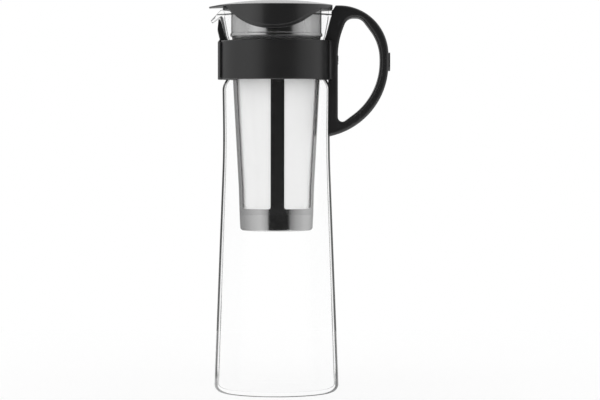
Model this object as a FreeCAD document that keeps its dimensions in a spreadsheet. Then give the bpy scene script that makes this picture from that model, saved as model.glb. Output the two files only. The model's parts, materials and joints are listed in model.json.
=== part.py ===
import FreeCAD, Part
import math
import os
import re

import Sketcher

# A cold brew coffee maker: a glass bottle with a handle band, and a mesh strainer under a lid.
# The bottle stands on the plane Z = 0 with its axis on Z. The spout points along -X, the handle along +X.

SIZES = {
    # glass bottle, outside radii
    "base_radius": 47.4,
    "base_corner": 6.0,
    "foot_width": 8.0,
    "punt_depth": 1.2,
    "base_thickness": 2.4,
    "heel_wall": 2.8,
    "glass_wall": 2.0,
    "waist_radius": 40.3,
    "waist_drop": 105.0,
    "shoulder_radius": 40.9,
    "shoulder_drop": 57.6,
    "shoulder_round": 12.0,
    "neck_radius": 36.8,
    "neck_drop": 50.5,
    "neck_length": 24.5,
    "flare_radius": 39.0,
    "flare_rise": 6.0,
    "mouth_radius": 43.3,
    "lip_depth": 3.6,
    "lip_width": 3.8,
    "lip_round": 1.85,
    "bottle_height": 290.0,
    # beak of the bottle
    "beak_reach": 50.3,
    "beak_glass": 2.2,
    "beak_width": 36.0,
    "beak_tip_width": 10.0,
    "beak_bend": 0.6,
    "beak_drop": 1.7,
    "beak_sweep": 80.0,
    # band round the neck
    "band_overhang": 2.2,
    "band_height": 29.5,
    "band_thickness": 4.95,
    "band_round": 0.8,
    "band_split": 2.0,
    "liner_thickness": 1.2,
    "liner_inset": 1.1,
    "clip_thickness": 1.4,
    "clip_width": 25.0,
    "clip_sweep": 60.0,
    "clip_drop": 1.0,
    "tongue_width": 17.0,
    "tongue_tip_width": 9.0,
    "tongue_drop": 7.0,
    # handle
    "handle_depth": 25.0,
    "handle_over": 3.2,
    "handle_reach": 84.7,
    "handle_round_share": 0.3723,
    "handle_low_share": 1.498,
    "handle_height": 99.9,
    "handle_rise": 12.4,
    "handle_edge": 2.4,
    "brow_drop": 3.1,
    "brow_slant": 6.0,
    "grip_thickness": 6.2,
    "stem_face": 46.5,
    "saddle_width": 36.0,
    "opening_foot": 8.6,
    "opening_heel": 32.6,
    "opening_haunch": 28.3,
    "opening_crown": 14.2,
    "opening_drop": 9.4,
    "opening_left": 7.0,
    "stem_bend": 27.3,
    "badge_height": 14.0,
    "badge_width": 14.0,
    "badge_rise": 1.4,
    "badge_inset": 0.8,
    "badge_drop": 5.2,
    # screw and nut of the handle
    "screw_radius": 2.0,
    "screw_head_radius": 3.6,
    "screw_head_height": 2.0,
    "screw_seat": 1.5,
    "nut_side": 7.0,
    "nut_thickness": 2.2,
    # strainer
    "flange_overlap": 1.1,
    "flange_thickness": 2.15,
    "sleeve_wall": 1.45,
    "sleeve_depth": 9.0,
    "collar_wall": 0.8,
    "collar_drop": 20.1,
    "collar_bead": 0.7,
    "basket_step": 0.25,
    "basket_neck_inset": 0.85,
    "basket_neck_drop": 3.6,
    "basket_hip_radius": 33.0,
    "basket_hip_drop": 31.9,
    "basket_knee_radius": 28.55,
    "basket_knee_rise": 19.3,
    "basket_radius": 28.0,
    "basket_length": 134.2,
    "basket_wall": 2.2,
    "window_sill": 4.1,
    "window_head": 7.9,
    "window_round": 1.6,
    "rib_width": 10.3,
    "side_rib_depth": 2.5,
    "mesh_thickness": 0.4,
    "mesh_sweep": 84.0,
    "strainer_turn": 2.0,
    # bottom cap
    "cap_depth": 12.7,
    "cap_round": 2.6,
    "cap_wall": 1.6,
    "spigot_wall": 1.5,
    "spigot_height": 3.6,
    "seal_height": 1.5,
    "seal_depth": 0.6,
    # lid
    "skirt_thickness": 1.4,
    "skirt_depth": 17.15,
    "skirt_strip": 2.4,
    "ledge_depth": 2.0,
    "apron_round": 40.0,
    "apron_left_top": 38.2,
    "apron_left_foot": 22.4,
    "apron_right_foot": 12.1,
    "apron_right_top": 34.6,
    "lid_edge": 1.2,
    "dome_rise": 4.2,
    "cover_reach": 51.0,
    "cover_width": 42.0,
    "cover_tip_width": 12.0,
    "lid_flat": 42.4,
    "plug_wall": 1.8,
    "plug_depth": 9.2,
    "lid_seal_height": 2.2,
    # clearances
    "strainer_gap": 0.6,
    "seat_gap": 0.08,
    "skirt_gap": 0.5,
    "plug_gap": 0.5,
    "glass_gap": 0.4,
    "fit_gap": 0.05,
    "cut_overrun": 1.0,
}

# Places and fits worked out from the sizes, as formulas on the sheet.
FITS = {
    # levels of the bottle, down from its mouth
    "waist_height": "bottle_height - waist_drop",
    "shoulder_height": "bottle_height - shoulder_drop",
    "neck_bottom": "bottle_height - neck_drop",
    "neck_top": "neck_bottom + neck_length",
    "flare_height": "neck_top + flare_rise",
    "neck_bore": "neck_radius - glass_wall",
    "mouth_bore": "mouth_radius - lip_width",
    # band and clip
    "band_bottom": "neck_bottom - band_overhang",
    "band_top": "band_bottom + band_height",
    "band_middle": "band_bottom + band_height / 2",
    "liner_inner": "neck_radius + fit_gap",
    "band_inner": "liner_inner + liner_thickness",
    "band_outer": "band_inner + band_thickness",
    "clip_back": "band_outer + fit_gap",
    "tongue_height": "bottle_height - tongue_drop",
    # handle and fixing
    "handle_top": "bottle_height + handle_over",
    "handle_bottom": "handle_top - handle_height",
    "handle_tip": "lid_flat + skirt_gap",
    "handle_round": "min(handle_round_share * handle_height; 0.885 * (handle_reach - lid_flat))",
    "grip_face": "handle_reach - grip_thickness",
    "grip_straight": "handle_height - opening_heel - opening_haunch",
    "heel_slope": "atan((opening_heel - opening_foot) / (grip_face - stem_face))",
    "heel_line": "(grip_face - stem_face) / cos(heel_slope)",
    "heel_round": "min(0.64 * grip_straight; 0.63 * heel_line) / tan((90 deg - heel_slope) / 2)",
    "haunch_slope": "atan(opening_crown / (opening_haunch - opening_drop))",
    "haunch_round": "0.3 * grip_straight / tan(haunch_slope / 2)",
    "crown_width": "grip_face - opening_crown - stem_face - opening_left",
    "stem_slope": "atan(opening_left / (stem_bend - opening_drop))",
    "stem_round": "0.62 * (stem_bend - opening_drop) / tan(stem_slope / 2)",
    "throat_round": "0.66 * min(crown_width; 0.8 * (stem_bend - opening_drop))",
    "badge_middle": "handle_top - handle_round - badge_drop",
    "nut_inner": "band_inner + liner_thickness / 2",
    "nut_outer": "nut_inner + nut_thickness + fit_gap",
    "head_seat": "stem_face - screw_seat",
    # strainer, down from the seat of its flange on the lip
    "lip_drop": "lip_round - sqrt(lip_round ^ 2 - (lip_round - flange_overlap) ^ 2)",
    "flange_seat": "bottle_height - lip_drop + seat_gap",
    "flange_top": "flange_seat + flange_thickness",
    "flange_outer": "mouth_bore + flange_overlap",
    "collar_outer": "neck_bore - strainer_gap",
    "collar_inner": "collar_outer - collar_wall",
    "collar_bottom": "bottle_height - collar_drop",
    "sleeve_outer": "collar_inner - fit_gap",
    "sleeve_inner": "sleeve_outer - sleeve_wall",
    "basket_bottom": "collar_bottom - basket_length",
    "basket_neck_radius": "collar_outer - basket_step - basket_neck_inset",
    "basket_neck_height": "collar_bottom - basket_neck_drop",
    "basket_hip_height": "collar_bottom - basket_hip_drop",
    "basket_knee_height": "basket_bottom + basket_knee_rise",
    "window_bottom": "basket_bottom + window_sill",
    "window_top": "collar_bottom - window_head",
    # bottom cap
    "cap_bottom": "basket_bottom - cap_depth",
    "cap_top": "basket_bottom - fit_gap * 5",
    "spigot_outer": "basket_radius - basket_wall - fit_gap",
    # lid, up from its seat on the flange
    "lid_seat": "flange_top + seat_gap",
    "lid_edge_top": "lid_seat + lid_edge",
    "lid_top": "lid_edge_top + dome_rise",
    "dome_round": "0.475 * lid_radius ^ 2 / dome_rise",
    "skirt_inner": "mouth_radius + skirt_gap",
    "lid_radius": "skirt_inner + skirt_thickness",
    "skirt_bottom": "lid_seat - skirt_depth",
    "skirt_ledge": "lid_seat - ledge_depth",
    "plug_outer": "sleeve_inner - plug_gap",
    "plug_inner": "plug_outer - plug_wall",
    "plug_ceiling": "lid_edge_top + dome_rise * 0.3",
}
NAMES = {**SIZES, **FITS}

doc = FreeCAD.newDocument("cold_brew_coffee_maker")
sheet = doc.addObject("Spreadsheet::Sheet", "Sizes")
for row, (name, size) in enumerate(NAMES.items(), start=1):
    sheet.setAlias(f"A{row}", name)
    sheet.set(f"A{row}", f"={size}" if name in FITS else str(size))
doc.recompute()


def bound(formula):
    """The formula with each size's name pointed at the sheet."""
    text = str(formula)
    return re.sub(r"[a-z_]+", lambda word: "Sizes." + word[0] if word[0] in NAMES else word[0], text)


def number(formula):
    """What the formula comes to with the sheet's sizes."""
    return float(sheet.evalExpression(bound(formula)))


def new_body(label):
    body = doc.addObject("PartDesign::Body", label)
    body.Label = label
    return body


def sketch_on(body, role):
    """A new sketch on the body's own origin plane of that role."""
    sketch = body.newObject("Sketcher::SketchObject", f"{body.Name}_sketch")
    plane = next(feature for feature in body.Origin.OriginFeatures if feature.Role == role)
    sketch.AttachmentSupport = [(plane, "")]
    sketch.MapMode = "FlatFace"
    return sketch


def bind(sketch, kind, *where, formula):
    """Adds a dimension to the sketch and ties it to the formula."""
    index = sketch.addConstraint(Sketcher.Constraint(kind, *where, number(formula)))
    sketch.setExpression(f"Constraints[{index}]", bound(formula))


def outline(sketch, corners):
    """Closed outline through corners (x, y) or (x, y, radius), all formulas; a radius rounds its corner."""
    points = [FreeCAD.Vector(number(corner[0]), number(corner[1]), 0) for corner in corners]
    count = len(corners)
    entries = []
    exits = []
    arcs = []
    for index, corner in enumerate(corners):
        here = points[index]
        back = (points[index - 1] - here).normalize()
        ahead = (points[(index + 1) % count] - here).normalize()
        if len(corner) == 2:
            entries.append(here)
            exits.append(here)
            arcs.append(None)
            continue
        radius = number(corner[2])
        half = back.getAngle(ahead) / 2
        reach = radius / math.tan(half)
        start = here + back * reach
        end = here + ahead * reach
        centre = here + (back + ahead).normalize() * (radius / math.sin(half))
        middle = centre + (here - centre).normalize() * radius
        turns_left = back.cross(ahead).z < 0
        ends = (start, end) if turns_left else (end, start)
        arcs.append((Part.Arc(ends[0], middle, ends[1]), turns_left))
        entries.append(start)
        exits.append(end)
    lines = [
        sketch.addGeometry(Part.LineSegment(exits[index], entries[(index + 1) % count]))
        for index in range(count)
    ]
    for index, corner in enumerate(corners):
        before = lines[index - 1]
        after = lines[index]
        if arcs[index] is None:
            sketch.addConstraint(Sketcher.Constraint("Coincident", before, 2, after, 1))
            holder = (after, 1)
        else:
            curve, turns_left = arcs[index]
            arc = sketch.addGeometry(curve)
            first, last = (1, 2) if turns_left else (2, 1)
            sketch.addConstraint(Sketcher.Constraint("Tangent", before, 2, arc, first))
            sketch.addConstraint(Sketcher.Constraint("Tangent", arc, last, after, 1))
            bind(sketch, "Radius", arc, formula=corner[2])
            point = sketch.addGeometry(Part.Point(points[index]), True)
            sketch.addConstraint(Sketcher.Constraint("PointOnObject", point, 1, before))
            sketch.addConstraint(Sketcher.Constraint("PointOnObject", point, 1, after))
            holder = (point, 1)
        bind(sketch, "DistanceX", -1, 1, *holder, formula=corner[0])
        bind(sketch, "DistanceY", -1, 1, *holder, formula=corner[1])


def revolved(body, corners, sweep=None):
    """Turns an outline of (radius, height) corners about Z: all round, or a sweep centred on its plane."""
    sketch = sketch_on(body, "XZ_Plane")
    outline(sketch, corners)
    turn = body.newObject("PartDesign::Revolution", f"{body.Name}_turn")
    turn.Profile = sketch
    turn.ReferenceAxis = (sketch, ["V_Axis"])
    turn.Angle = 360
    if sweep is not None:
        turn.Midplane = True
        turn.setExpression("Angle", bound(sweep))
    return turn


def padded(body, role, corners, length):
    """Pads an outline by the length, half to each side of its plane."""
    sketch = sketch_on(body, role)
    outline(sketch, corners)
    pad = body.newObject("PartDesign::Pad", f"{body.Name}_pad")
    pad.Profile = sketch
    pad.SideType = "Symmetric"
    pad.setExpression("Length", bound(length))
    return pad


def combined(kind, label, *pieces):
    """A boolean of the pieces: Part::Cut, Part::Common or Part::MultiFuse."""
    result = doc.addObject(kind, label)
    result.Label = label
    if kind == "Part::MultiFuse":
        result.Shapes = list(pieces)
    else:
        result.Base, result.Tool = pieces
    result.Refine = True
    doc.recompute()
    return result


def edges_where(shape, wanted):
    """Names of the shape's edges whose middle point passes the test."""
    names = []
    for index, edge in enumerate(shape.Edges, start=1):
        middle = edge.valueAt((edge.FirstParameter + edge.LastParameter) / 2)
        if wanted(edge, middle):
            names.append(f"Edge{index}")
    return names


def filleted(body, radius, wanted):
    """Rounds the chosen edges of the body's last feature."""
    doc.recompute()
    base = body.Tip
    fillet = body.newObject("PartDesign::Fillet", f"{body.Name}_fillet")
    fillet.Base = (base, edges_where(base.Shape, wanted))
    fillet.setExpression("Radius", bound(radius))
    return fillet


def ring(label, corners, sweep=None):
    body = new_body(label)
    revolved(body, corners, sweep)
    return body


def box_corners(low_x, high_x, low_y, high_y, radius=None):
    corners = [(low_x, low_y), (high_x, low_y), (high_x, high_y), (low_x, high_y)]
    return corners if radius is None else [(x, y, radius) for x, y in corners]


def slab(label, role, corners, length):
    """A padded outline in a body of its own, used to trim another solid."""
    body = new_body(label)
    padded(body, role, corners, length)
    return body


def rod(label, radius, start, end, height):
    """A round rod along +X from start to end, at that height."""
    cylinder = doc.addObject("Part::Cylinder", label)
    cylinder.Label = label
    cylinder.Placement = FreeCAD.Placement(FreeCAD.Vector(), FreeCAD.Rotation(FreeCAD.Vector(0, 1, 0), 90))
    cylinder.setExpression("Radius", bound(radius))
    cylinder.setExpression("Height", bound(f"({end}) - ({start})"))
    cylinder.setExpression("Placement.Base.x", bound(start))
    cylinder.setExpression("Placement.Base.z", bound(height))
    return cylinder


def block(label, start, end, width, height, middle):
    """A box along +X from start to end, centred on Y = 0 and on the middle height."""
    box = doc.addObject("Part::Box", label)
    box.Label = label
    box.setExpression("Length", bound(f"({end}) - ({start})"))
    box.setExpression("Width", bound(width))
    box.setExpression("Height", bound(height))
    box.setExpression("Placement.Base.x", bound(start))
    box.setExpression("Placement.Base.y", bound(f"-({width}) / 2"))
    box.setExpression("Placement.Base.z", bound(f"({middle}) - ({height}) / 2"))
    return box


def flare_at(height, gap):
    """Outside radius of the glass flare at a height, plus a gap."""
    slope = "(mouth_radius - flare_radius) / (bottle_height - lip_depth - flare_height)"
    return f"(flare_radius + {slope} * (({height}) - flare_height) + {gap})"


def throat_at(height, gap):
    """Outside radius of the glass between its neck and its flare at a height, plus a gap."""
    slope = "(flare_radius - neck_radius) / (flare_height - neck_top)"
    return f"(neck_radius + {slope} * (({height}) - neck_top) + {gap})"


def basket_at(height, inset):
    """Outside radius of the basket at a height below its knee or above its hip, less an inset."""
    if number(height) < number("basket_knee_height"):
        low = ("basket_radius", "basket_bottom")
        high = ("basket_knee_radius", "basket_knee_height")
    else:
        low = ("basket_hip_radius", "basket_hip_height")
        high = ("basket_neck_radius", "basket_neck_height")
    slope = f"({high[0]} - {low[0]}) / ({high[1]} - {low[1]})"
    return f"({low[0]} + {slope} * (({height}) - {low[1]}) - {inset})"


# Bottle


def make_glass_bottle():
    """One wall outline from the foot up the outside, over the beaded lip and down the inside, and a beak."""
    foot = "(base_radius - base_corner - foot_width)"
    wall = ring(
        "bottle_wall",
        [
            (0, "punt_depth"),
            (f"{foot} - 2 * punt_depth", "punt_depth", "punt_depth"),
            (foot, 0, "punt_depth"),
            ("base_radius", 0, "base_corner"),
            ("waist_radius", "waist_height", "waist_radius * 20"),
            ("shoulder_radius", "shoulder_height", "shoulder_round"),
            ("neck_radius", "neck_bottom", "shoulder_round / 3"),
            ("neck_radius", "neck_top", "shoulder_round / 2"),
            ("flare_radius", "flare_height", "shoulder_round"),
            ("mouth_radius", "bottle_height - lip_depth", "lip_round"),
            ("mouth_radius", "bottle_height", "lip_round"),
            ("mouth_bore", "bottle_height", "lip_round"),
            ("mouth_bore", "bottle_height - lip_depth * 2", "lip_round"),
            ("flare_radius - glass_wall", "flare_height", "shoulder_round"),
            ("neck_bore", "neck_top", "shoulder_round / 2"),
            ("neck_bore", "neck_bottom", "shoulder_round / 3"),
            ("shoulder_radius - glass_wall", "shoulder_height", "shoulder_round"),
            ("waist_radius - glass_wall", "waist_height", "waist_radius * 20"),
            ("base_radius - heel_wall", "punt_depth + base_thickness", "base_corner - heel_wall"),
            (0, "punt_depth + base_thickness"),
        ],
    )
    bend = "(mouth_radius + beak_bend)"
    bend_height = "(bottle_height - beak_drop)"
    tip_height = f"({bend_height} - beak_reach + {bend})"
    under = f"({bend} + {bend_height} - beak_glass * sqrt(2))"
    foot = f"{under} - mouth_radius + lip_round * 0.7"
    offset = "beak_glass / sqrt(2)"
    root = "(mouth_radius - lip_width / 2)"
    beak_sheet = ring(
        "beak_sheet",
        [
            (f"-{root}", f"{bend_height} + beak_bend"),
            (f"-{bend}", bend_height, "beak_glass"),
            ("-beak_reach", tip_height, "beak_glass * 0.45"),
            (f"-(beak_reach - {offset})", f"{tip_height} - {offset}", "beak_glass * 0.45"),
            ("-(mouth_radius - lip_round * 0.7)", foot, "beak_glass / 2"),
            (f"-{root}", foot),
        ],
        sweep="beak_sweep",
    )
    beak_outline = slab(
        "beak_outline",
        "XY_Plane",
        [
            ("-mouth_bore", "beak_width / 2"),
            ("-beak_reach - beak_glass", "beak_tip_width / 2", "beak_tip_width / 2"),
            ("-beak_reach - beak_glass", "-beak_tip_width / 2", "beak_tip_width / 2"),
            ("-mouth_bore", "-beak_width / 2"),
        ],
        "bottle_height * 3",
    )
    beak = combined("Part::Common", "beak", beak_sheet, beak_outline)
    return combined("Part::MultiFuse", "glass_bottle", wall, beak)


def make_band_liner():
    """Soft strip between the glass neck and the band, split where the band is."""
    levels = ("neck_bottom + liner_inset", "neck_top - liner_inset")
    strip = ring("liner_strip", box_corners("liner_inner", "(band_inner - fit_gap)", *levels))
    reach = "-neck_radius * 1.5"
    split = block("liner_split", reach, 0, "band_split", "band_height * 2", "band_middle")
    return combined("Part::Cut", "band_liner", strip, split)


def make_neck_band():
    """Band with rolled edges, its bore eased off the glass, split in front, a pocket for the nut."""
    ease = "liner_thickness"
    pocket_side = "nut_side + 2 * fit_gap"
    hoop = ring(
        "band_hoop",
        [
            (f"band_inner + {ease}", "band_bottom"),
            ("band_outer", "band_bottom", "band_round"),
            ("band_outer", "band_top", "band_round"),
            (f"band_inner + {ease}", "band_top"),
            ("band_inner", f"band_top - {ease}"),
            ("band_inner", f"band_bottom + {ease}"),
        ],
    )
    openings = combined(
        "Part::MultiFuse",
        "band_openings",
        block("band_gap", "-band_outer * 1.5", 0, "band_split", "band_height * 2", "band_middle"),
        block("nut_pocket", 0, "nut_outer", pocket_side, pocket_side, "band_middle"),
        rod("band_screw_hole", "screw_radius + fit_gap * 2", 0, "band_outer * 1.5", "band_middle"),
    )
    return combined("Part::Cut", "neck_band", hoop, openings)


def make_band_clip():
    """Front plate over the band's split, with the tongue that stands on it under the beak."""
    top_step = "(band_top + fit_gap)"
    section = ring(
        "clip_section",
        [
            ("-clip_back", "band_bottom"),
            ("-clip_back - clip_thickness", "band_bottom", "clip_thickness * 0.4"),
            ("-clip_back - clip_thickness", "band_top - clip_drop", "clip_thickness * 0.4"),
            ("-clip_back", "band_top + clip_drop"),
            ("-clip_back - clip_thickness * 1.2", "(band_top + tongue_height) / 2", "band_height / 3"),
            ("-clip_back - clip_thickness * 0.6", "tongue_height", "clip_thickness * 0.4"),
            (f"-{flare_at('tongue_height', 'glass_gap')}", "tongue_height", "clip_thickness * 0.1"),
            ("-(flare_radius + glass_gap)", "flare_height"),
            (f"-{throat_at(top_step, 'glass_gap')}", top_step),
            ("-clip_back", top_step),
        ],
        sweep="clip_sweep",
    )
    plate_top = "(band_top - clip_drop)"
    corner = "clip_thickness * 1.4"
    clip_outline = slab(
        "clip_outline",
        "YZ_Plane",
        [
            ("-clip_width / 2", "band_bottom", corner),
            ("clip_width / 2", "band_bottom", corner),
            ("clip_width / 2", plate_top, corner),
            ("tongue_width / 2", plate_top),
            ("tongue_tip_width / 2", "tongue_height", "tongue_tip_width * 0.4"),
            ("-tongue_tip_width / 2", "tongue_height", "tongue_tip_width * 0.4"),
            ("-tongue_width / 2", plate_top),
            ("-clip_width / 2", plate_top, corner),
        ],
        "mouth_radius * 3",
    )
    return combined("Part::Common", "band_clip", section, clip_outline)


# Handle, its badge and its fixing


def make_handle():
    """Loop handle: a rounded blank with a finger opening, hollowed to clear the bottle, and a saddle."""
    root = "(neck_radius - glass_gap)"
    brow = "(handle_tip + clip_thickness * 1.4)"
    blank = new_body("handle_blank")
    padded(
        blank,
        "XZ_Plane",
        [
            (root, "handle_bottom"),
            ("handle_reach", "handle_bottom + handle_rise", "handle_round * handle_low_share"),
            ("handle_reach", "handle_top", "handle_round"),
            (brow, "handle_top"),
            ("handle_tip", "handle_top - brow_drop"),
            (root, "handle_top - brow_drop - brow_slant"),
        ],
        "handle_depth",
    )
    opening = sketch_on(blank, "XZ_Plane")
    crown_height = "handle_top - opening_drop"
    outline(
        opening,
        [
            ("stem_face", "handle_bottom + opening_foot", "grip_thickness * 0.58"),
            ("grip_face", "handle_bottom + opening_heel", "heel_round"),
            ("grip_face", "handle_top - opening_haunch", "haunch_round"),
            ("grip_face - opening_crown", crown_height, "crown_width * 0.72"),
            ("stem_face + opening_left", crown_height, "throat_round"),
            ("stem_face", "handle_top - stem_bend", "stem_round"),
        ],
    )
    pocket = blank.newObject("PartDesign::Pocket", "handle_opening")
    pocket.Profile = opening
    pocket.SideType = "Symmetric"
    pocket.Type = "ThroughAll"
    half_depth = number("handle_depth / 2")
    filleted(
        blank,
        "handle_edge",
        lambda edge, middle: abs(abs(middle.y) - half_depth) < 1e-4 and middle.x > number(brow),
    )
    foot = "(handle_bottom - band_height)"
    relief = ring(
        "handle_relief",
        [
            (0, foot),
            ("waist_radius + glass_gap * 1.5", foot),
            ("shoulder_radius + glass_gap", "shoulder_height"),
            ("shoulder_radius + glass_gap", "band_bottom - fit_gap"),
            ("clip_back", "band_bottom - fit_gap"),
            ("clip_back", "band_top + fit_gap"),
            (throat_at("(band_top + fit_gap)", "glass_gap"), "band_top + fit_gap"),
            ("flare_radius + glass_gap", "flare_height"),
            ("mouth_radius + glass_gap", "bottle_height - lip_depth"),
            ("mouth_radius + glass_gap", "handle_top + band_height"),
            (0, "handle_top + band_height"),
        ],
    )
    saddle = ring(
        "handle_saddle",
        box_corners("clip_back", "clip_back + clip_thickness", "band_bottom", "band_top"),
        sweep="2 * asin(saddle_width / 2 / band_outer)",
    )
    outer_radius = number("clip_back + clip_thickness")
    filleted(
        saddle,
        "clip_thickness * 0.5",
        lambda edge, middle: abs(math.hypot(middle.x, middle.y) - outer_radius) < 1e-4,
    )
    stem = combined("Part::Cut", "handle_stem", blank, relief)
    whole = combined("Part::MultiFuse", "handle_whole", stem, saddle)
    mouth = "stem_face + cut_overrun"
    holes = combined(
        "Part::MultiFuse",
        "handle_holes",
        rod("stem_screw_hole", "screw_radius + fit_gap * 2", "neck_radius", mouth, "band_middle"),
        rod("screw_head_seat", "screw_head_radius + fit_gap * 3", "head_seat", mouth, "band_middle"),
        make_badge("badge_recess", "fit_gap"),
    )
    return combined("Part::Cut", "handle", whole, holes)


def make_badge(label, gap):
    """Rounded plate let into the grip's outer face; the gap makes the recess that takes it."""
    low = f"(badge_middle - badge_height / 2 - {gap})"
    high = f"(badge_middle + badge_height / 2 + {gap})"
    side = f"(badge_width / 2 + {gap})"
    face = slab(
        f"{label}_face",
        "YZ_Plane",
        box_corners(f"-{side}", side, low, high, radius="badge_width / 4"),
        "handle_reach * 3",
    )
    depth = block(
        f"{label}_depth",
        f"handle_reach - badge_inset - {gap}",
        "handle_reach + badge_rise",
        "badge_width * 2",
        "badge_height * 2",
        "badge_middle",
    )
    return combined("Part::Common", label, face, depth)


def make_handle_screw():
    """Pan-head screw along X with a hexagon socket."""
    head_top = "(head_seat + screw_head_height)"
    head = rod("screw_head", "screw_head_radius", "head_seat", head_top, "band_middle")
    shank = rod("screw_shank", "screw_radius", "nut_inner + fit_gap", head_top, "band_middle")
    solid = combined("Part::MultiFuse", "screw_solid", head, shank)
    socket = doc.addObject("Part::Prism", "screw_socket")
    socket.Polygon = 6
    socket.Placement = FreeCAD.Placement(FreeCAD.Vector(), FreeCAD.Rotation(FreeCAD.Vector(0, 1, 0), 90))
    socket.setExpression("Circumradius", bound("screw_radius * 0.7"))
    socket.setExpression("Height", bound("screw_head_height"))
    socket.setExpression("Placement.Base.x", bound(f"{head_top} - screw_head_height * 0.6"))
    socket.setExpression("Placement.Base.z", bound("band_middle"))
    return combined("Part::Cut", "handle_screw", solid, socket)


def make_handle_nut():
    """Square nut that sits in the band's pocket."""
    nut = block("nut_block", "nut_inner", "nut_inner + nut_thickness", "nut_side", "nut_side", "band_middle")
    bore = rod("nut_bore", "screw_radius + fit_gap / 2", "neck_radius", "stem_face", "band_middle")
    return combined("Part::Cut", "handle_nut", nut, bore)


# Strainer


def make_strainer_rim():
    """Flange that rests on the lip's inner slope, with a sleeve inside the collar and a step for its end."""
    return ring(
        "strainer_rim",
        [
            ("sleeve_inner", "flange_seat - sleeve_depth", "sleeve_wall * 0.3"),
            ("sleeve_outer", "flange_seat - sleeve_depth", "sleeve_wall * 0.3"),
            ("sleeve_outer", "flange_seat + collar_wall"),
            ("collar_outer + fit_gap", "flange_seat + collar_wall"),
            ("collar_outer + fit_gap", "flange_seat"),
            ("flange_outer", "flange_seat", "sleeve_wall * 0.3"),
            ("flange_outer", "flange_top", "sleeve_wall * 0.3"),
            ("sleeve_inner", "flange_top", "sleeve_wall * 0.5"),
        ],
    )


def make_strainer_collar():
    """Thin steel tube from the rim's step down to a rolled bead."""
    bead = "(collar_outer + collar_bead)"
    bead_top = "(collar_bottom + 3 * collar_bead)"
    return ring(
        "strainer_collar",
        [
            ("collar_inner", "collar_bottom"),
            (bead, "collar_bottom", "collar_bead"),
            (bead, bead_top, "collar_bead * 0.9"),
            ("collar_outer", f"{bead_top} + collar_bead"),
            ("collar_outer", "flange_seat + collar_wall - fit_gap"),
            ("collar_inner", "flange_seat + collar_wall - fit_gap"),
        ],
    )


def window_outline(side):
    """Outline of the windows on one side of the front rib: their outer edge follows the basket's taper."""
    rib_edge = f"{side} * rib_width / 2"
    return [
        (rib_edge, "window_bottom", "window_round"),
        (f"{side} * {basket_at('window_bottom', 'side_rib_depth')}", "window_bottom", "window_round"),
        (f"{side} * (basket_knee_radius - side_rib_depth)", "basket_knee_height"),
        (f"{side} * (basket_hip_radius - side_rib_depth)", "basket_hip_height"),
        (f"{side} * {basket_at('window_top', 'side_rib_depth')}", "window_top", "window_round"),
        (rib_edge, "window_top", "window_round"),
    ]


def make_strainer_frame():
    """Tapered shell cut straight through by two windows, which leave ribs front and back and at the sides."""
    frame = ring(
        "strainer_frame",
        [
            ("basket_radius", "basket_bottom"),
            ("basket_knee_radius", "basket_knee_height"),
            ("basket_hip_radius", "basket_hip_height"),
            ("basket_neck_radius", "basket_neck_height"),
            ("collar_outer - basket_step", "collar_bottom"),
            ("collar_outer - basket_step - basket_wall", "collar_bottom"),
            ("basket_neck_radius - basket_wall", "basket_neck_height"),
            ("basket_hip_radius - basket_wall", "basket_hip_height"),
            ("basket_knee_radius - basket_wall", "basket_knee_height"),
            ("basket_radius - basket_wall", "basket_bottom"),
        ],
    )
    openings = sketch_on(frame, "XZ_Plane")
    for side in (-1, 1):
        outline(openings, window_outline(side))
    windows = frame.newObject("PartDesign::Pocket", "strainer_windows")
    windows.Profile = openings
    windows.SideType = "Symmetric"
    windows.Type = "ThroughAll"
    frame.setExpression("Placement.Rotation.Angle", bound("strainer_turn"))
    return frame


def make_mesh_panel(index):
    """Thin sheet of mesh behind one window, from the cap's spigot up to a lap on the top ring."""
    low = "(cap_top + spigot_height + fit_gap)"
    high = "(window_top + window_round)"
    front = "(basket_wall + 2 * fit_gap)"
    back = f"({front} + mesh_thickness)"
    outside = [
        (basket_at(low, front), low),
        (f"basket_knee_radius - {front}", "basket_knee_height"),
        (f"basket_hip_radius - {front}", "basket_hip_height"),
        (basket_at(high, front), high),
    ]
    inside = [
        (basket_at(low, back), low),
        (f"basket_knee_radius - {back}", "basket_knee_height"),
        (f"basket_hip_radius - {back}", "basket_hip_height"),
        (basket_at(high, back), high),
    ]
    panel = ring(f"mesh_panel_{index}", outside + inside[::-1], sweep="mesh_sweep")
    panel.setExpression("Placement.Rotation.Angle", bound(f"strainer_turn + {90 * index - 45}"))
    return panel


# Bottom cap


def make_bottom_cap():
    """Cup below the seam, with a spigot that pushes into the basket and a groove for its ring."""
    inner = "(spigot_outer - spigot_wall)"
    groove_low = "(cap_top + seal_height * 0.6)"
    groove_high = f"({groove_low} + seal_height + 2 * fit_gap)"
    return ring(
        "bottom_cap",
        [
            (0, "cap_bottom"),
            ("basket_radius - seal_depth", "cap_bottom", "cap_round"),
            ("basket_radius", "cap_top"),
            ("spigot_outer", "cap_top"),
            ("spigot_outer", groove_low),
            ("spigot_outer - seal_depth", groove_low),
            ("spigot_outer - seal_depth", groove_high),
            ("spigot_outer", groove_high),
            ("spigot_outer", "cap_top + spigot_height"),
            (inner, "cap_top + spigot_height"),
            (inner, "cap_bottom + cap_wall", "cap_round - cap_wall / 2"),
            (0, "cap_bottom + cap_wall"),
        ],
    )


def make_cap_seal():
    """Soft ring in the spigot's groove."""
    low = "(cap_top + seal_height * 0.6 + fit_gap)"
    corners = box_corners(
        "spigot_outer - seal_depth + fit_gap / 2",
        "spigot_outer + fit_gap / 2",
        low,
        f"{low} + seal_height",
        radius="seal_depth * 0.4",
    )
    return ring("cap_seal", corners)


# Lid


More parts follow.
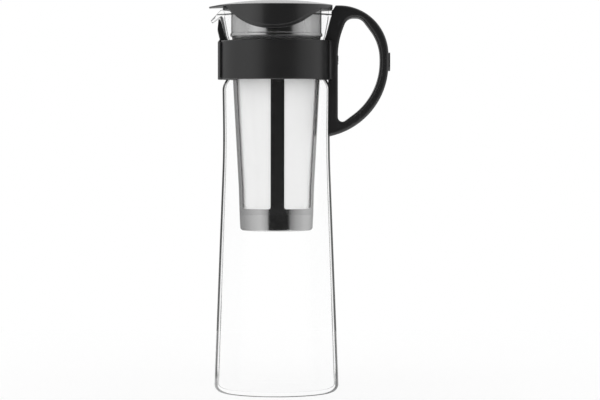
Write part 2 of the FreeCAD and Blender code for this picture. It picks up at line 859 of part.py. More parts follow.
def skirt_tongue(label, lift):
    """Prism with the side view of the skirt, its edge raised by the lift: apron and ledge."""
    low = f"(skirt_bottom + {lift})"
    top = "(lid_seat + lid_edge / 2)"
    left_slope = "atan((lid_seat - skirt_bottom) / (apron_left_top - apron_left_foot))"
    right_slope = "atan((skirt_ledge - skirt_bottom) / (apron_right_top - apron_right_foot))"
    return slab(
        label,
        "XZ_Plane",
        [
            (f"-apron_left_top + {lift} / sin({left_slope})", top),
            (f"-apron_left_foot + {lift} * tan({left_slope} / 2)", low, f"apron_round - {lift}"),
            (f"apron_right_foot - {lift} * tan({right_slope} / 2)", low, f"apron_round - {lift}"),
            (f"apron_right_top - {lift} / sin({right_slope})", "skirt_ledge"),
            ("lid_radius * 1.5", "skirt_ledge"),
            ("lid_radius * 1.5", top),
        ],
        "lid_radius * 3",
    )


def make_lid_shell():
    """Domed plate with a spout cover, and a skirt whose outer face ends a strip above its inner one."""
    foot = "(skirt_bottom - skirt_strip)"
    waist = "(skirt_inner + skirt_thickness / 2)"
    outer_wall = box_corners(f"{waist} - fit_gap", "lid_radius", foot, "lid_edge_top")
    inner_wall = box_corners("skirt_inner", waist, foot, "lid_edge_top")
    outer_ring = ring("skirt_outer_ring", outer_wall)
    inner_ring = ring("skirt_inner_ring", inner_wall)
    outer_tongue = skirt_tongue("outer_tongue", "skirt_strip")
    outer_skirt = combined("Part::Common", "skirt_outer", outer_ring, outer_tongue)
    inner_tongue = skirt_tongue("inner_tongue", 0)
    inner_skirt = combined("Part::Common", "skirt_inner", inner_ring, inner_tongue)
    slope = "(2 * dome_rise / lid_radius)"
    cover_drop = f"({slope} * (cover_reach - lid_radius))"
    plate = ring(
        "lid_plate",
        [
            (0, "plug_ceiling"),
            ("plug_outer + fit_gap", "plug_ceiling"),
            ("plug_outer + fit_gap", "lid_seat"),
            ("lid_radius", "lid_seat"),
            ("cover_reach", f"lid_seat - {cover_drop} * 0.7"),
            ("cover_reach", f"lid_edge_top - {cover_drop}"),
            ("lid_radius / 2", "lid_top", "dome_round"),
            (0, "lid_top"),
        ],
    )
    disc = ring("lid_disc", box_corners(0, "lid_radius", foot, "lid_top + dome_rise"))
    cover = slab(
        "cover_outline",
        "XY_Plane",
        [
            (0, "cover_width / 2"),
            ("-mouth_radius * 0.9", "cover_width / 2"),
            ("-cover_reach", "cover_tip_width / 2", "cover_tip_width / 3"),
            ("-cover_reach", "-cover_tip_width / 2", "cover_tip_width / 3"),
            ("-mouth_radius * 0.9", "-cover_width / 2"),
            (0, "-cover_width / 2"),
        ],
        "bottle_height * 3",
    )
    solid = combined("Part::MultiFuse", "lid_solid", plate, outer_skirt, inner_skirt)
    plan = combined("Part::MultiFuse", "lid_plan", disc, cover)
    trimmed = combined("Part::Common", "lid_trimmed", solid, plan)
    flat = block("lid_flat_cut", "lid_flat", "lid_flat * 2", "lid_flat * 3", "bottle_height * 3", 0)
    return combined("Part::Cut", "lid_shell", trimmed, flat)


def make_lid_plug():
    """Ring under the lid that centres it in the strainer's sleeve, grooved for the seal."""
    foot = "(lid_seat - plug_depth)"
    groove_low = f"({foot} + lid_seal_height)"
    groove_high = f"({groove_low} + lid_seal_height + 2 * fit_gap)"
    return ring(
        "lid_plug",
        [
            ("plug_inner", foot, "plug_wall * 0.3"),
            ("plug_outer", foot, "plug_wall * 0.3"),
            ("plug_outer", groove_low),
            ("plug_outer - plug_wall / 2", groove_low),
            ("plug_outer - plug_wall / 2", groove_high),
            ("plug_outer", groove_high),
            ("plug_outer", "plug_ceiling - fit_gap / 2"),
            ("plug_inner", "plug_ceiling - fit_gap / 2"),
        ],
    )


def make_lid_seal():
    """Soft ring in the plug's groove, almost as wide as the sleeve."""
    low = "(lid_seat - plug_depth + lid_seal_height + fit_gap)"
    corners = box_corners(
        "plug_outer - plug_wall / 2 + fit_gap / 2",
        "sleeve_inner - fit_gap",
        low,
        f"{low} + lid_seal_height",
        radius="plug_wall * 0.3",
    )
    return ring("lid_seal", corners)


NODES = [
    make_glass_bottle(),
    make_band_liner(),
    make_neck_band(),
    make_band_clip(),
    make_handle(),
    make_badge("handle_badge", 0),
    make_handle_screw(),
    make_handle_nut(),
    make_strainer_rim(),
    make_strainer_collar(),
    make_strainer_frame(),
    *[make_mesh_panel(index) for index in range(1, 5)],
    make_bottom_cap(),
    make_cap_seal(),
    make_lid_shell(),
    make_lid_plug(),
    make_lid_seal(),
]

doc.recompute()
for thing in doc.Objects:
    if {"Invalid", "Error"} & set(thing.State):
        raise RuntimeError(f"{thing.Name} did not build: {thing.State}")
for node in NODES:
    if node.Shape.isNull() or not node.Shape.isValid() or len(node.Shape.Solids) != 1:
        raise RuntimeError(f"{node.Label} is not one valid solid")

os.makedirs("parts", exist_ok=True)
for node in NODES:
    node.Shape.exportStep(f"parts/{node.Label}.step")
    box = node.Shape.optimalBoundingBox()
    print(
        f"{node.Label:18s} x {box.XMin:7.2f} {box.XMax:7.2f}  y {box.YMin:7.2f} {box.YMax:7.2f}  "
        f"z {box.ZMin:7.2f} {box.ZMax:7.2f}  volume {node.Shape.Volume:10.1f}"
    )
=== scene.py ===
import json
import math

import bpy
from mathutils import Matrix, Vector


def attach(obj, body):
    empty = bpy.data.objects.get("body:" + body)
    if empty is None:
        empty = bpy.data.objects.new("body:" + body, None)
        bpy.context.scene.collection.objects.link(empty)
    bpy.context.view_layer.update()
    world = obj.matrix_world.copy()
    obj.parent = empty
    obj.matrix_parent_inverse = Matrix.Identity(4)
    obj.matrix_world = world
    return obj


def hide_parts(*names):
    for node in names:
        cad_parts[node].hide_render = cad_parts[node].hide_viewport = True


MM = 0.001
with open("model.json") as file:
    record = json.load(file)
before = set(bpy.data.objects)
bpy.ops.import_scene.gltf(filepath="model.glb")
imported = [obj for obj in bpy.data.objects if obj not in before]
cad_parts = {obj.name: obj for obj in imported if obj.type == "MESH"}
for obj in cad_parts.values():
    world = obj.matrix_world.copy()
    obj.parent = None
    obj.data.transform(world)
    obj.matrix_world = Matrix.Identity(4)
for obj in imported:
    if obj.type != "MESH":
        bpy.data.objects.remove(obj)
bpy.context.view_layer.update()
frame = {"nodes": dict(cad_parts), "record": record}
NODES = frame["nodes"]


# Node helpers


class Graph:
    """A node tree that is filled by calls: add() makes a node and links or sets its inputs."""

    def __init__(self, owner):
        owner.use_nodes = True
        self.owner = owner
        self.nodes = owner.node_tree.nodes
        self.links = owner.node_tree.links
        self.nodes.clear()

    def add(self, kind, inputs=None, **settings):
        node = self.nodes.new("ShaderNode" + kind)
        for name, value in settings.items():
            setattr(node, name, value)
        for key, value in (inputs or {}).items():
            socket = node.inputs[key]
            if isinstance(value, bpy.types.NodeSocket):
                self.links.new(value, socket)
            else:
                socket.default_value = value
        return node

    def math(self, operation, *values):
        return self.add("Math", dict(enumerate(values)), operation=operation).outputs[0]

    def vector(self, operation, *values):
        """A number for LENGTH and DOT_PRODUCT, and a vector for the rest."""
        outputs = self.add("VectorMath", dict(enumerate(values)), operation=operation).outputs
        return outputs["Value" if operation in ("LENGTH", "DOT_PRODUCT") else "Vector"]

    def fold(self, operation, first, *others):
        """One number from several, taking each next one in by the operation."""
        for value in others:
            first = self.math(operation, first, value)
        return first

    def between(self, value, low, high):
        """1 from low to high and 0 outside."""
        return self.math("COMPARE", value, (low + high) / 2, (high - low) / 2)

    def smooth(self, value, low, high):
        """0 below low, 1 above high, eased between."""
        inputs = {"Value": value, "From Min": low, "From Max": high}
        return self.add("MapRange", inputs, interpolation_type="SMOOTHSTEP").outputs["Result"]

    def rise(self, length, low, high):
        """The same for a length in metres, with low and high in millimetres."""
        return self.smooth(length, low * MM, high * MM)

    def lerp(self, share, first, second):
        """First number at share 0 and second at share 1."""
        return self.add("Mix", {0: share, 2: first, 3: second}, data_type="FLOAT").outputs[0]

    def blend(self, share, first, second):
        """First colour at share 0 and second at share 1."""
        return self.add("Mix", {0: share, 6: first, 7: second}, data_type="RGBA").outputs[2]

    def mix(self, share, first, second):
        """First shader at share 0 and second at share 1."""
        return self.add("MixShader", {0: share, 1: first, 2: second}).outputs[0]

    def place(self):
        """X, Y and Z of the shaded point in metres."""
        return self.add("SeparateXYZ", {0: self.add("TexCoord").outputs["Object"]}).outputs

    def facing(self):
        """0 where the surface is seen face on, 1 where it is seen edge on."""
        return self.add("LayerWeight", {"Blend": 0.5}).outputs["Facing"]

    def noise(self, scale, stretch=(1, 1, 1), detail=3.0, roughness=0.5):
        place = {"Vector": self.add("TexCoord").outputs["Object"], "Scale": stretch}
        inputs = {
            "Vector": self.add("Mapping", place).outputs[0],
            "Scale": scale,
            "Detail": detail,
            "Roughness": roughness,
        }
        return self.add("TexNoise", inputs).outputs["Fac"]

    def bump(self, height, depth, strength, normal=None):
        """Normal of a relief whose height of 1 stands for the depth in millimetres."""
        inputs = {"Height": height, "Distance": depth * MM, "Strength": strength}
        if normal is not None:
            inputs["Normal"] = normal
        return self.add("Bump", inputs).outputs[0]

    def finish(self, shader, kind="OutputMaterial"):
        self.add(kind, {"Surface": shader})
        return self.owner


def grey(value):
    return (value, value, value, 1.0)


# Plastic and rubber


def black_plastic(name, gloss, edge):
    """Satin black moulded plastic with a spark-eroded grain and a slightly uneven sheen.

    Gloss is the weight of its polished coat, edge the rounding of worn edges in millimetres.
    """
    graph = Graph(bpy.data.materials.new(name))
    cloud = graph.noise(60, detail=4)
    grain = graph.noise(5200, detail=2, roughness=0.6)
    worn = graph.add("Bevel", {"Radius": edge * MM}, samples=6).outputs[0]
    shader = graph.add(
        "BsdfPrincipled",
        {
            "Base Color": graph.blend(cloud, (0.011, 0.011, 0.0115, 1), (0.016, 0.0158, 0.016, 1)),
            "Roughness": graph.lerp(cloud, 0.27, 0.36),
            "IOR": 1.58,
            "Coat Weight": gloss,
            "Coat Roughness": 0.1,
            "Normal": graph.bump(grain, 0.02, 0.35, worn),
        },
    )
    return graph.finish(shader.outputs[0])


def dark_gloss():
    """Smooth dark plate: glossier than the plastic round it."""
    graph = Graph(bpy.data.materials.new("dark_gloss"))
    cloud = graph.noise(140)
    shader = graph.add(
        "BsdfPrincipled",
        {
            "Base Color": graph.blend(cloud, (0.02, 0.02, 0.021, 1), (0.03, 0.03, 0.031, 1)),
            "Roughness": graph.lerp(cloud, 0.12, 0.2),
            "IOR": 1.5,
        },
    )
    return graph.finish(shader.outputs[0])


def black_rubber():
    """Soft black silicone with a dusty bloom."""
    graph = Graph(bpy.data.materials.new("black_rubber"))
    dust = graph.noise(900, detail=5, roughness=0.7)
    shader = graph.add(
        "BsdfPrincipled",
        {
            "Base Color": graph.blend(dust, grey(0.012), grey(0.022)),
            "Roughness": graph.lerp(dust, 0.55, 0.7),
            "Normal": graph.bump(dust, 0.03, 0.4),
        },
    )
    return graph.finish(shader.outputs[0])


# Steel and mesh

# Windows of the strainer, in millimetres: half widths, levels and the strainer's turn on its axis
RIB_HALF = 5.15
WINDOW_FOOT = 139.8
WINDOW_TOP = 262.0
WINDOW_FOOT_HALF = 25.4
WINDOW_TOP_HALF = 31.4
STRAINER_TURN = math.radians(2)
# How far past a window's foot and top its cut walls may lie, and where over its top the
# basket's upper ring sets in
WINDOW_MARGIN = 1.0
RING_ABOVE = (1.0, 3.0)

# How far a cut wall's normal points outward: more than in the bore, less than on the outside
CUT_WALL = (-0.97, 0.61)
# Grey of the cut walls: partly the mesh's pale edge, partly painted light lifting the shade in the
# window recesses
CUT_WALL_PALE_LIFT_GREY = 0.95
# Share of the same pale grey over the upper ring
RING_PALE_SHARE = 0.07

# Sheen painted on steel seen at a slant, standing in for reflections: where it sets in and where it
# turns to painted shade at the edge, by facing, then its share
SHEEN_START = (0.12, 0.35)
SHEEN_DARK_EDGE = (0.75, 0.85)
SHEEN_DARK_EDGE_GREY = 0.02
SHEEN_SHARE = 0.85


def cut_wall_pale_and_lift(graph, x, y, z, normal, above):
    """Share and shader of pale grey painted on the windows' cut walls, with a trace on the ring:
    partly the mesh's pale edge, partly painted light that lifts the shade in the window recesses.
    """
    spoke = graph.vector("NORMALIZE", graph.add("CombineXYZ", {0: x, 1: y}).outputs[0])
    cut = graph.between(graph.vector("DOT_PRODUCT", normal, spoke), *CUT_WALL)
    low = (WINDOW_FOOT - WINDOW_MARGIN) * MM
    high = (WINDOW_TOP + WINDOW_MARGIN) * MM
    wall = graph.math("MULTIPLY", cut, graph.between(z, low, high))
    share = graph.math("MAXIMUM", wall, graph.math("MULTIPLY", above, RING_PALE_SHARE))
    return share, graph.add("BsdfDiffuse", {"Color": grey(CUT_WALL_PALE_LIFT_GREY)}).outputs[0]


def slant_painted_sheen(graph, slant_sheen_grey):
    """Share and shader of a grey sheen painted where the steel is seen at a slant, standing in for
    reflections, with painted shade at the very edge.
    """
    facing = graph.facing()
    colour = graph.blend(graph.smooth(facing, *SHEEN_DARK_EDGE), grey(slant_sheen_grey), grey(SHEEN_DARK_EDGE_GREY))
    share = graph.math("MULTIPLY", graph.smooth(facing, *SHEEN_START), SHEEN_SHARE)
    return share, graph.add("BsdfDiffuse", {"Color": colour}).outputs[0]


def turned_steel(name, tint, roughness, slant_sheen_grey=None, crown=1.0, cut_walls=False):
    """Polished stainless steel with faint rings from turning and smudges that dull it.

    The grey given for the slant sheen is painted where the steel is seen at a slant, standing in
    for reflections, with painted shade at the very edge. A crown below 1 shades the rounded faces
    below the basket's upper ring as if they were drawn out more nearly upright.
    Cut_walls paints the windows' cut walls pale grey: partly the mesh's pale edge, partly painted
    light that lifts the shade in the window recesses.
    """
    graph = Graph(bpy.data.materials.new(name))
    x, y, z = graph.place()
    above = graph.rise(z, WINDOW_TOP + RING_ABOVE[0], WINDOW_TOP + RING_ABOVE[1])
    stretch = graph.add("CombineXYZ", {0: 1.0, 1: 1.0, 2: graph.lerp(above, crown, 1.0)}).outputs[0]
    normal = graph.add("NewGeometry").outputs["Normal"]
    drawn = graph.vector("NORMALIZE", graph.vector("MULTIPLY", normal, stretch))
    rings = graph.noise(900, stretch=(0.02, 0.02, 4), detail=4, roughness=0.7)
    smudge = graph.noise(70, detail=4)
    shader = graph.add(
        "BsdfPrincipled",
        {
            "Base Color": graph.blend(rings, grey(tint * 0.94), grey(tint)),
            "Metallic": 1.0,
            "Roughness": graph.lerp(smudge, *roughness),
            "Normal": graph.bump(rings, 0.01, 0.25, drawn),
        },
    ).outputs[0]
    # Pale grey on the cut walls: the mesh's edge, and painted light lifting the shade in the
    # recesses
    if cut_walls:
        share, overlay_shader = cut_wall_pale_and_lift(graph, x, y, z, normal, above)
        shader = graph.mix(share, shader, overlay_shader)
    # A grey sheen painted at a slant, standing in for reflections, with painted shade at the edge
    if slant_sheen_grey is not None:
        share, overlay_shader = slant_painted_sheen(graph, slant_sheen_grey)
        shader = graph.mix(share, shader, overlay_shader)
    return graph.finish(shader)


# Weave of the mesh, in millimetres: from thread to thread, the radius at which that holds, the
# sealed margin of a window and the grey shadow line painted beside a rib
THREAD_PITCH = 0.3
WEAVE_RADIUS = 30.0
SEALED_MARGIN = (0.7, 0.9)
RIB_SHADOW_LINE = (0.85, 1.35)
# From which height of the thread's wave to which the square between threads opens
THREAD_OPEN = (0.88, 0.94)


def window_distances(graph, x, y, z):
    """How far a point of a window lies from the nearest rib, and from its nearest edge."""
    turned = graph.math("MULTIPLY", y, math.sin(STRAINER_TURN))
    across = graph.math("MULTIPLY_ADD", x, math.cos(STRAINER_TURN), turned)
    across = graph.math("ABSOLUTE", across)
    taper = (WINDOW_TOP_HALF - WINDOW_FOOT_HALF) / (WINDOW_TOP - WINDOW_FOOT)
    side = graph.math("MULTIPLY_ADD", z, taper, (WINDOW_FOOT_HALF - WINDOW_FOOT * taper) * MM)
    from_rib = graph.math("SUBTRACT", across, RIB_HALF * MM)
    inset = graph.fold(
        "MINIMUM",
        from_rib,
        graph.math("SUBTRACT", side, across),
        graph.math("SUBTRACT", z, WINDOW_FOOT * MM),
        graph.math("SUBTRACT", WINDOW_TOP * MM, z),
    )
    return from_rib, inset


def pale_mesh():
    """Fine woven mesh: over-and-under threads with small open squares, sealed along its edges."""
    graph = Graph(bpy.data.materials.new("mesh_fabric"))
    x, y, z = graph.place()
    pitch = THREAD_PITCH * MM
    turns = WEAVE_RADIUS * MM * math.pi / pitch
    around = graph.math("MULTIPLY", graph.math("ARCTAN2", y, x), turns)
    along = graph.math("MULTIPLY", z, math.pi / pitch)
    warp = graph.math("ABSOLUTE", graph.math("SINE", around))
    weft = graph.math("ABSOLUTE", graph.math("SINE", along))
    over = graph.math("MULTIPLY", graph.math("COSINE", around), graph.math("COSINE", along))
    height = graph.math("ADD", graph.math("MINIMUM", warp, weft), graph.math("MULTIPLY", over, 0.3))
    from_rib, inset = window_distances(graph, x, y, z)
    opened = [graph.smooth(wave, *THREAD_OPEN) for wave in (warp, weft)]
    hole = graph.fold("MULTIPLY", *opened, graph.rise(inset, *SEALED_MARGIN))
    # A grey shadow line painted on the mesh beside each rib
    rib_shadow_line = graph.between(from_rib, RIB_SHADOW_LINE[0] * MM, RIB_SHADOW_LINE[1] * MM)
    colour = graph.blend(graph.noise(45), grey(0.955), (0.98, 0.98, 0.975, 1))
    colour = graph.blend(graph.math("MULTIPLY", rib_shadow_line, 0.3), colour, grey(0.6))
    relief = graph.bump(height, 0.05, 0.4)
    thread = graph.add("BsdfDiffuse", {"Color": colour, "Roughness": 0.2, "Normal": relief})
    through = graph.add("BsdfTranslucent", {"Color": colour})
    lit = graph.mix(0.05, thread.outputs[0], through.outputs[0])
    return graph.finish(graph.mix(hole, lit, graph.add("BsdfTransparent").outputs[0]))


# Glass


def painted_glass_lines(graph, facing):
    """How strongly dark lines are painted on the glass, from 0 to 1, standing in for the dark lines
    that refraction draws in real glass: along its edges, its lip and the ring of its foot.
    """
    x, y, z = graph.place()
    geometry = graph.add("NewGeometry").outputs
    spoke = graph.add("CombineXYZ", {0: x, 1: y}).outputs[0]
    radius = graph.vector("LENGTH", spoke)
    outward = graph.vector("DOT_PRODUCT", geometry["Normal"], spoke)
    near = graph.math("GREATER_THAN", outward, 0.0)
    flip = graph.math("MULTIPLY_ADD", geometry["Backfacing"], -2.0, 1.0)
    outside = graph.math("GREATER_THAN", graph.math("MULTIPLY", outward, flip), 0.0)

    # Where the painted dark edge begins, by facing: on the wall, on level faces, in the bore, at
    # the lip
    upright = graph.add("SeparateXYZ", {0: geometry["Normal"]}).outputs[2]
    level = graph.smooth(graph.math("ABSOLUTE", upright), 0.75, 0.9)
    wall_start = graph.lerp(graph.rise(z, 6, 20), 0.64, 0.7)
    outer_start = graph.lerp(level, wall_start, 0.46)
    start = graph.lerp(graph.rise(z, 284, 286), graph.lerp(outside, 0.78, outer_start), 0.86)
    edge = graph.smooth(facing, start, graph.math("ADD", start, 0.08))
    # A dark line painted round the lip's bead on its near side
    bead = graph.math("MULTIPLY", graph.between(z, 285.6 * MM, 286.6 * MM), near)
    line = graph.math("MAXIMUM", edge, bead)

    # How strongly the dark line is painted: by level in the bore, and at the foot only on the near
    # side of its ring
    bore = graph.lerp(graph.rise(z, 62, 80), 0.6, 0.34)
    bore = graph.lerp(graph.rise(z, 262, 268), bore, 0.6)
    ring = graph.math("MULTIPLY", graph.rise(radius, 40.4, 41.4), near)
    above_foot = graph.math("MAXIMUM", ring, graph.rise(z, 8, 12))
    strength = graph.math("MULTIPLY", graph.lerp(outside, bore, 0.95), above_foot)
    waver = graph.noise(18, stretch=(1, 1, 0.5), detail=2)
    uneven = graph.lerp(graph.smooth(waver, 0.35, 0.65), 0.75, 1.0)
    return graph.fold("MULTIPLY", strength, uneven, line)


def clear_glass():
    """Clear thin glass in a white studio: see-through face on, with dark lines painted where it is
    seen edge on and a faint pale sheen painted where it is seen at a slant.
    """
    graph = Graph(bpy.data.materials.new("clear_glass"))
    facing = graph.facing()
    clear = graph.add("BsdfTransparent").outputs[0]
    # A faint pale sheen painted where the glass is seen at a slant, standing in for its reflection
    painted_sheen_share = graph.math("MULTIPLY", graph.smooth(facing, 0.1, 0.27), 0.025)
    sheen = {"Base Color": (0.95, 0.96, 0.96, 1), "Roughness": 0.03, "IOR": 1.45}
    # The rim shader paints the dark lines
    rim = {"Base Color": (0.02, 0.022, 0.022, 1), "Roughness": 0.03, "IOR": 1.1}
    body = graph.mix(painted_sheen_share, clear, graph.add("BsdfPrincipled", sheen).outputs[0])
    painted_line_shader = graph.add("BsdfPrincipled", rim).outputs[0]
    seen = graph.mix(painted_glass_lines(graph, facing), body, painted_line_shader)
    # Diffuse light passes it freely, so that the glass throws no shadow
    diffuse = graph.add("LightPath").outputs["Is Diffuse Ray"]
    return graph.finish(graph.mix(diffuse, seen, clear))


MATERIALS = {
    "black_plastic": black_plastic("black_plastic", 0.0, 0.5),
    "dark_gloss": dark_gloss(),
    "black_rubber": black_rubber(),
    "screw_steel": turned_steel("screw_steel", 0.6, (0.2, 0.3)),
    # The collar's sides get a painted sheen and painted edge shade where seen at a slant
    "collar_steel": turned_steel("collar_steel", 0.68, (0.1, 0.16), slant_sheen_grey=0.5),
    # Its window cut walls are painted pale, partly as painted light lifting the recess shade
    "frame_steel": turned_steel("frame_steel", 0.6, (0.12, 0.2), crown=0.08, cut_walls=True),
    "cap_steel": turned_steel("cap_steel", 0.66, (0.1, 0.16), crown=0.08),
    "mesh_fabric": pale_mesh(),
    "clear_glass": clear_glass(),
}
for entry in frame["record"]["subparts"]:
    for material_slot in NODES[entry["node"]].material_slots:
        material_slot.material = MATERIALS[entry["material_slot"]]
for material_slot in NODES["lid_shell"].material_slots:
    material_slot.material = black_plastic("lid_plastic", 0.6, 0.9)


# The bottle's glass, turned in fine steps, with its lip drawn out to a beak (in millimetres)

TURNS = 288
ARC_STEPS = 14

# Corners of the section: radius from the axis, level and, where it is round, the rounding
GLASS_WALL = 2.0
UNDERSIDE = [(0.0, 1.2), (22.0, 0.85, 60.0), (33.4, 0.0), (47.4, 0.0, 6.0)]
WALL = [
    (40.3, 185.0, 806.0),
    (40.9, 232.4, 12.0),
    (36.8, 239.5, 4.0),
    (36.8, 264.0, 6.0),
    (39.0, 270.0, 12.0),
]
LIP_ROOT = (42.93, 285.0)
BORE_TOP = [(39.6, 288.15), (39.5, 282.8, 1.85)]
BORE_FLOOR = [(44.6, 3.6, 3.2), (0.0, 3.6)]

# The lip's bead: its centre, its round and the part of it from the top over to the bore, in
# degrees. The part below that, on the outer wall, is drawn out to the beak.
LIP_RADIUS = 41.45
LIP_CENTRE = Vector((LIP_RADIUS, 288.15))
LIP_ROUND = 1.85
BEAD_TOP = 50
BEAD_END = 180
BEAD_STEPS = 12

# The beak: its droop, length and half thickness, and the length over which it thins to that
BEAK_DROOP = math.radians(-42)
BEAK_LENGTH = 10.9
BEAK_HALF = 1.0
BEAK_EASE = 4.0
# Where the arc round its tip begins and ends, in degrees, on the plain bead and fully thinned
TIP_BEGIN = (-15, -132)
TIP_END = (38, 48)
TIP_STEPS = 14
UNDER_STEPS = 5
OVER_STEPS = 4
# Its plan: the blunt nose's reach, where its flanks at 45 degrees meet, and its half width
NOSE_REACH = 50.4
FLANKS_MEET = 57.0
BEAK_SIDE = 18.0


def rounded(corners):
    """Outline through corners (r, z) or (r, z, radius), each radius turned into an arc."""
    points = []
    for index, corner in enumerate(corners):
        here = Vector(corner[:2])
        if len(corner) == 2:
            points.append(here)
            continue
        back = (Vector(corners[index - 1][:2]) - here).normalized()
        ahead = (Vector(corners[index + 1][:2]) - here).normalized()
        half = back.angle(ahead) / 2
        centre = here + (back + ahead).normalized() * (corner[2] / math.sin(half))
        start = here + back * (corner[2] / math.tan(half)) - centre
        turn = (math.pi - 2 * half) * (1 if start.cross(here - centre) > 0 else -1)
        for step in range(ARC_STEPS + 1):
            angle = turn * step / ARC_STEPS
            cosine = math.cos(angle)
            sine = math.sin(angle)
            arm = (start.x * cosine - start.y * sine, start.x * sine + start.y * cosine)
            points.append(centre + Vector(arm))
    return points


def arc(first, last, steps, centre=LIP_CENTRE, radius=LIP_ROUND):
    """Points round the centre from the first to the last angle in degrees."""
    angles = [math.radians(first + (last - first) * step / steps) for step in range(steps + 1)]
    return [centre + Vector((math.cos(angle), math.sin(angle))) * radius for angle in angles]


def lip(length):
    """The lip's section from the outer wall over to the bore, its tip drawn out by the length."""
    share = min(1.0, length / BEAK_EASE)
    share = share * share * (3 - 2 * share)
    half = LIP_ROUND + (BEAK_HALF - LIP_ROUND) * share
    centre = LIP_CENTRE + Vector((math.cos(BEAK_DROOP), math.sin(BEAK_DROOP))) * length
    begin, end = [plain + (thinned - plain) * share for plain, thinned in (TIP_BEGIN, TIP_END)]
    tip = arc(begin, end, TIP_STEPS, centre, half)
    bead = arc(BEAD_TOP, BEAD_END, BEAD_STEPS)
    under = [Vector(LIP_ROOT).lerp(tip[0], step / UNDER_STEPS) for step in range(UNDER_STEPS)]
    over = [tip[-1].lerp(bead[0], step / OVER_STEPS) for step in range(1, OVER_STEPS)]
    return under + tip + over + bead


def beak_length(angle):
    """How far the lip is drawn out at that angle from -X: a tapered plan with a blunt nose."""
    rim = LIP_RADIUS + LIP_ROUND
    side = abs(math.sin(angle)) * rim
    if math.cos(angle) < 0 or side > BEAK_SIDE:
        return 0.0
    excess = (min(FLANKS_MEET - side, NOSE_REACH) - math.cos(angle) * rim) / math.cos(BEAK_DROOP)
    return max(0.0, min(excess, BEAK_LENGTH))


def glass_bottle():
    """The bottle as one closed mesh of revolution, apart from its beak."""
    # The lip closes the section, so the wall and the bore end short of it
    under_centre, *outer = rounded([*UNDERSIDE, *WALL, LIP_ROOT])[:-1]
    bore = [(radius - GLASS_WALL, level, rounding) for radius, level, rounding in reversed(WALL)]
    *inner, floor_centre = rounded([*BORE_TOP, *bore, *BORE_FLOOR])[1:]
    vertices = []
    rows = []
    for turn in range(TURNS):
        angle = 2 * math.pi * turn / TURNS
        profile = outer + lip(beak_length(angle)) + inner
        rows.append(range(len(vertices), len(vertices) + len(profile)))
        for point in profile:
            x = -math.cos(angle) * point.x * MM
            y = math.sin(angle) * point.x * MM
            vertices.append((x, y, point.y * MM))
    below = len(vertices)
    inside = below + 1
    vertices += [(0, 0, under_centre.y * MM), (0, 0, floor_centre.y * MM)]
    faces = []
    for turn, row in enumerate(rows):
        following = rows[(turn + 1) % TURNS]
        faces.append((below, row[0], following[0]))
        faces.append((inside, following[-1], row[-1]))
        faces += zip(row, row[1:], following[1:], following)
    mesh = bpy.data.meshes.new("bottle_glass")
    mesh.from_pydata(vertices, [], faces)
    mesh.update()
    for face in mesh.polygons:
        face.use_smooth = True
    mesh.materials.append(MATERIALS["clear_glass"])
    bottle = bpy.data.objects.new("bottle_glass", mesh)
    bpy.context.scene.collection.objects.link(bottle)
    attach(bottle, "bottle")
    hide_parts("glass_bottle")


glass_bottle()


# Floor, world and camera

FLOOR_HALF = 600
FLOOR_GAP = 0.05

# Brightness of the studio round the object, by degrees from the front: a dark gap in front,
# a bright screen to each side of it, dimmer walls beyond and the backdrop behind.
STUDIO = [
    (-180, 0.3),
    (-160, 0.25),
    (-123, 0.4),
    (-83, 0.66),
    (-53, 0.78),
    (-38, 0.64),
    (-28, 0.5),
    (-23, 0.02),
    (38, 0.02),
    (46, 0.3),
    (64, 0.52),
    (97, 0.72),
    (120, 0.7),
    (150, 0.44),
    (180, 0.4),
]
# The pale backdrop: how bright it is, and where it fades in toward the back and upward
BACKDROP = 0.95
BACKDROP_BACK = (0.0, 0.5)
BACKDROP_UP = (0.04, 0.16)

EYE = Vector((17.9, -2050, 207))
TARGET = Vector((17.9, 0, 146))


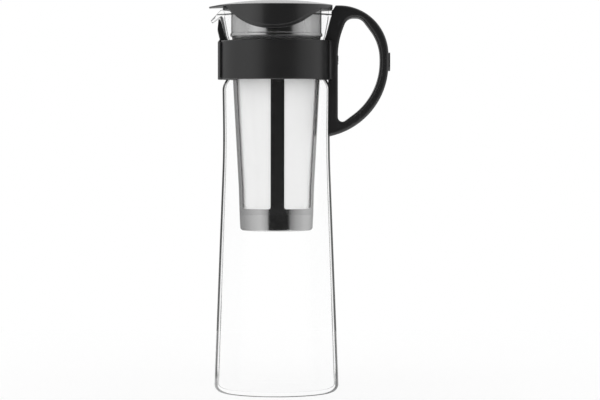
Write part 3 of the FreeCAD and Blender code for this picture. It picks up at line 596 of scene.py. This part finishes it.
def make_floor():
    """A white floor a hair below the foot."""
    side = FLOOR_HALF * MM
    mesh = bpy.data.meshes.new("floor")
    corners = [(-side, -side, 0), (side, -side, 0), (side, side, 0), (-side, side, 0)]
    mesh.from_pydata(corners, [], [(0, 1, 2, 3)])
    floor = bpy.data.objects.new("floor", mesh)
    floor.location.z = -FLOOR_GAP * MM
    bpy.context.scene.collection.objects.link(floor)
    graph = Graph(bpy.data.materials.new("pale_floor"))
    shader = graph.add("BsdfDiffuse", {"Color": grey(1.0)})
    mesh.materials.append(graph.finish(shader.outputs[0]))


def make_world():
    """Even white light, in which mirroring surfaces see the studio's screens instead."""
    world = bpy.data.worlds.new("studio")
    bpy.context.scene.world = world
    world.cycles.sampling_method = "NONE"
    graph = Graph(world)
    x, y, z = graph.add("SeparateXYZ", {0: graph.add("TexCoord").outputs["Generated"]}).outputs
    around = graph.math("ARCTAN2", x, graph.math("MULTIPLY", y, -1))
    ramp = graph.add("ValToRGB", {0: graph.math("MULTIPLY_ADD", around, 0.5 / math.pi, 0.5)})
    stops = ramp.color_ramp.elements
    for degrees, level in STUDIO[1:-1]:
        stops.new(degrees / 360 + 0.5).color = grey(level)
    stops[0].color = grey(STUDIO[0][1])
    stops[-1].color = grey(STUDIO[-1][1])
    behind = graph.math("MULTIPLY", graph.smooth(y, *BACKDROP_BACK), graph.smooth(z, *BACKDROP_UP))
    screens = graph.blend(behind, ramp.outputs[0], grey(BACKDROP))
    path = graph.add("LightPath").outputs
    mirrored = graph.math("MINIMUM", path["Glossy Depth"], 1.0)
    soft = graph.math("MAXIMUM", path["Is Diffuse Ray"], path["Is Camera Ray"])
    share = graph.math("MULTIPLY", mirrored, graph.math("SUBTRACT", 1.0, soft))
    colour = graph.blend(share, grey(1.0), screens)
    light = graph.add("Background", {"Color": colour, "Strength": 1.0})
    graph.finish(light.outputs[0], "OutputWorld")


def make_camera():
    """Eye below the lid's height, two metres off, turned slightly down."""
    data = bpy.data.cameras.new("camera")
    camera = bpy.data.objects.new("camera", data)
    eye = EYE * MM
    camera.location = eye
    camera.rotation_euler = (TARGET * MM - eye).to_track_quat("-Z", "Y").to_euler()
    data.sensor_width = 36
    data.lens = 162
    data.clip_start = 0.05
    data.clip_end = 50
    bpy.context.scene.collection.objects.link(camera)
    bpy.context.scene.camera = camera


make_floor()
make_world()
make_camera()
bpy.context.scene.view_settings.view_transform = "Standard"
